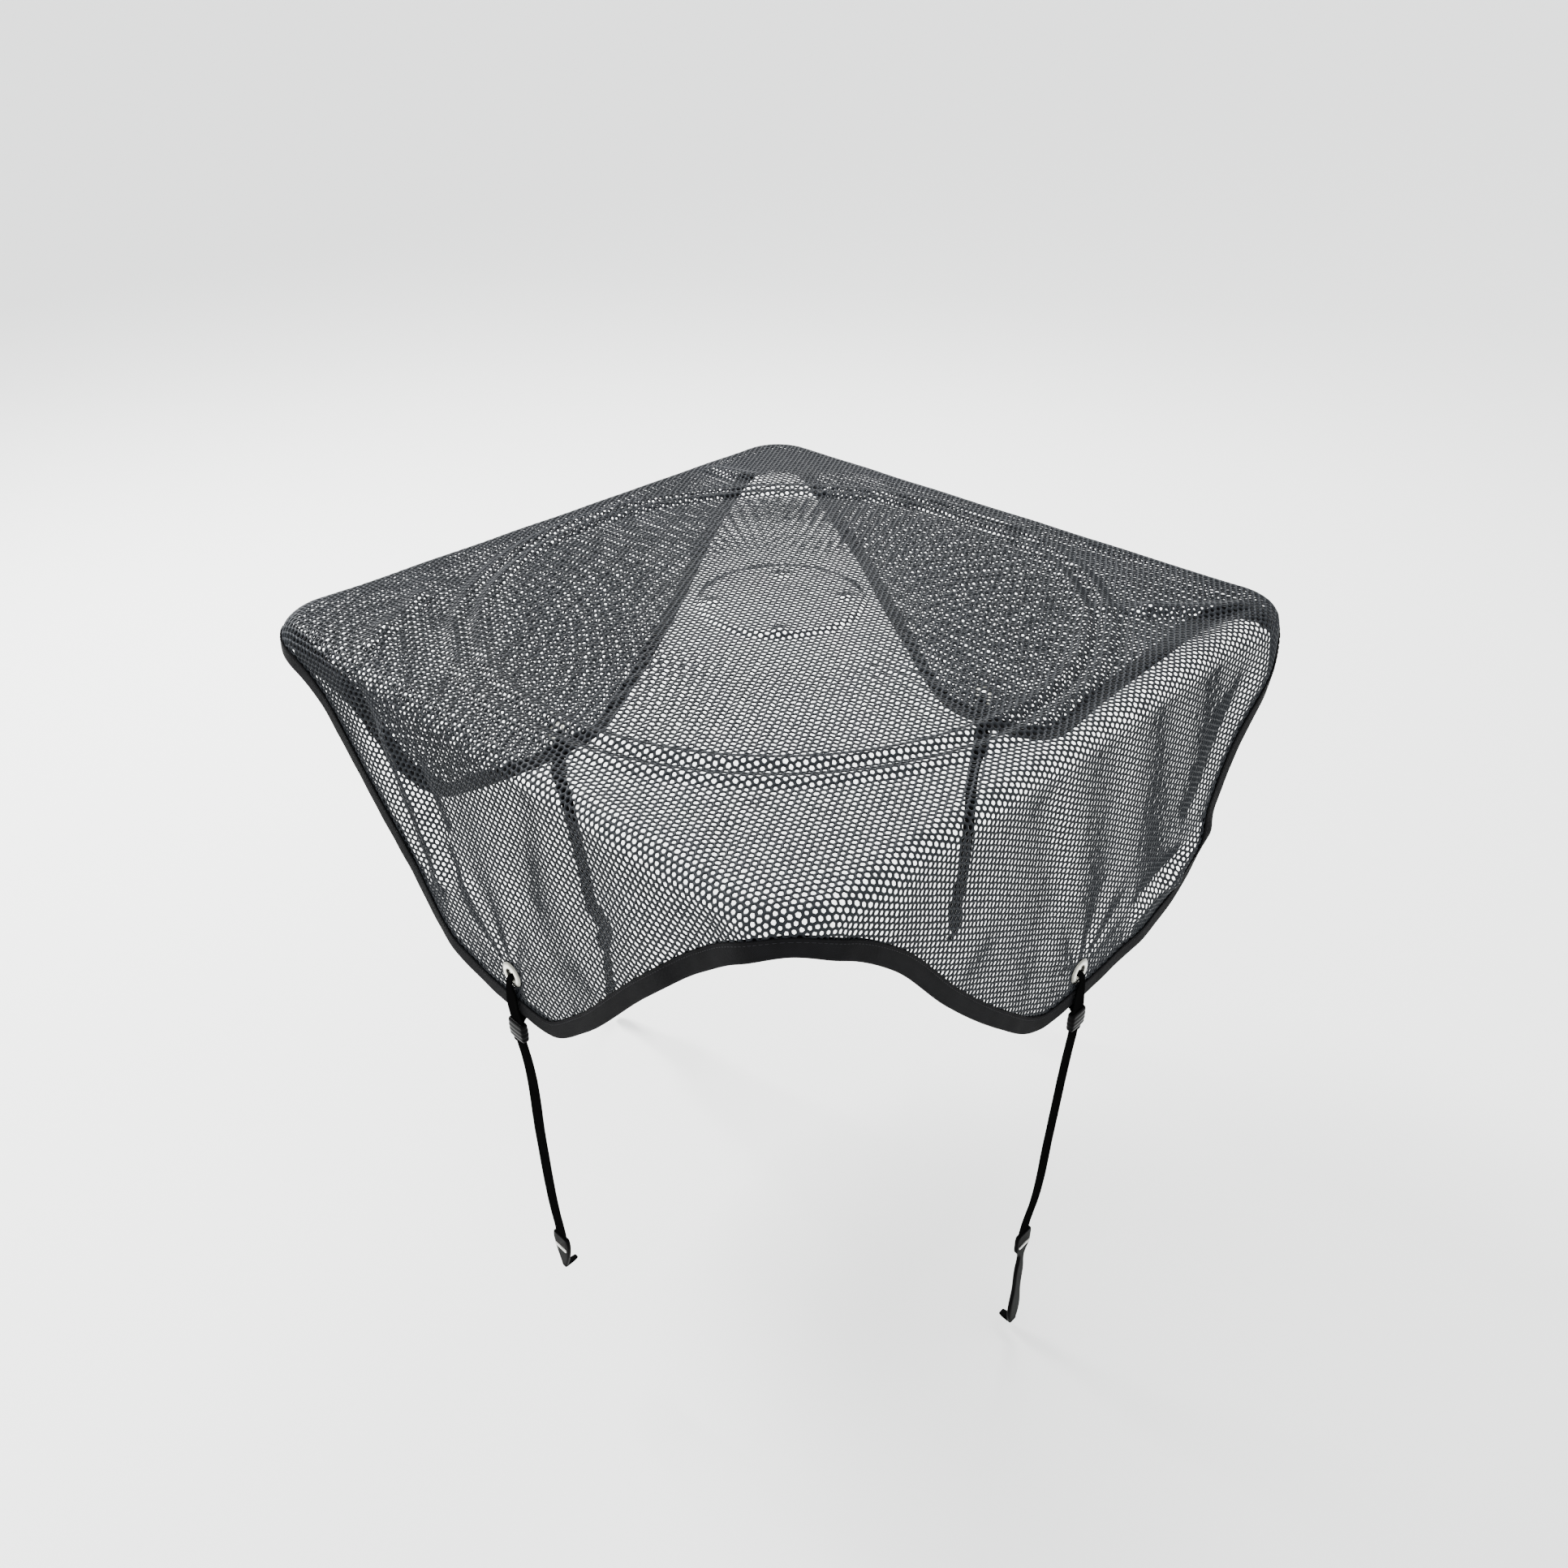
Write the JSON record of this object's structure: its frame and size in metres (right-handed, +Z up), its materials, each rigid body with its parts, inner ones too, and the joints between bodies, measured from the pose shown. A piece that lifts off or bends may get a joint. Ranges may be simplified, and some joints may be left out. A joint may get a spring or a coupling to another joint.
{
  "type": "air conditioner cover",
  "caption": "Fitted black net top cover for a square outdoor air conditioner, with a taped scalloped hem, eyelets, webbing straps and flat hooks.",
  "frame": {"origin": "centre of the plane on which the corners of the cover's top lie, on the unit's top", "axes": "+Z up; -Y is the side called front and +X the side called right, the two that the picture shows"},
  "size_m": [0.8172, 0.816, 0.869],
  "materials": {
    "net": "matt black open net",
    "binding_tape": "woven tape",
    "webbing": "woven webbing",
    "eyelet_metal": "bright nickel",
    "black_plastic": "semi-gloss",
    "bar_steel": "brushed"
  },
  "bodies": {
    "root": {"net_cover": "net", "hem_binding": "binding_tape", "eyelet_front": "eyelet_metal", "strap_front": "webbing", "keeper_front": "black_plastic", "hook_front": "black_plastic", "hook_bar_front": "bar_steel", "eyelet_right": "eyelet_metal", "strap_right": "webbing", "keeper_right": "black_plastic", "hook_right": "black_plastic", "hook_bar_right": "bar_steel", "eyelet_back": "eyelet_metal", "strap_back": "webbing", "keeper_back": "black_plastic", "hook_back": "black_plastic", "hook_bar_back": "bar_steel", "eyelet_left": "eyelet_metal", "strap_left": "webbing", "keeper_left": "black_plastic", "hook_left": "black_plastic", "hook_bar_left": "bar_steel"}
  },
  "joints": []
}
